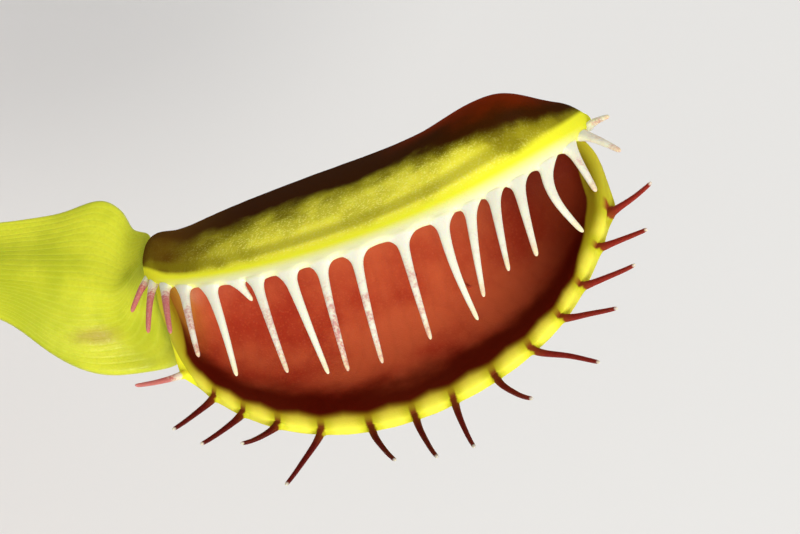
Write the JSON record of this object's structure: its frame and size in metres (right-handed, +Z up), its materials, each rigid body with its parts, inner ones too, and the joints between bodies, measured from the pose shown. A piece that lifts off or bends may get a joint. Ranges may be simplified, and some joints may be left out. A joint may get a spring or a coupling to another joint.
{
  "type": "potted venus flytrap",
  "caption": "Potted Venus flytrap: winged leaf stalks spread from a low rootstock in peat, each ending in a toothed red trap, in a plain round nursery pot.",
  "frame": {"origin": "middle of the pot's flat base, on the surface it stands on", "axes": "+Z up along the pot's axis; +X towards the longest leaf, which reaches out over the rim; +Y to the left of that leaf"},
  "size_m": [0.1727, 0.1334, 0.1246],
  "materials": {
    "trap": "moist satin leaf, deep red inside and yellow-green outside, with a yellow edge and pale to dark red teeth",
    "leaf_stalk": "satin yellow-green leaf with fine veins",
    "rootstock": "pale green and whitish scales, matte",
    "peat": "damp dark brown peat with pale grit, matte",
    "pot": "matte terracotta-brown moulded plastic"
  },
  "bodies": {
    "root": {"pot": "pot", "peat": "peat", "rootstock": "rootstock", "leaf_stalk_01": "leaf_stalk", "leaf_stalk_02": "leaf_stalk", "leaf_stalk_03": "leaf_stalk", "leaf_stalk_04": "leaf_stalk", "leaf_stalk_05": "leaf_stalk", "leaf_stalk_06": "leaf_stalk", "leaf_stalk_07": "leaf_stalk", "leaf_stalk_08": "leaf_stalk", "leaf_stalk_09": "leaf_stalk", "leaf_stalk_10": "leaf_stalk", "trap_01": "trap", "trap_02": "trap", "trap_03": "trap", "trap_04": "trap", "trap_05": "trap", "trap_06": "trap", "trap_07": "trap", "trap_08": "trap", "trap_09": "trap", "trap_10": "trap"}
  },
  "joints": []
}
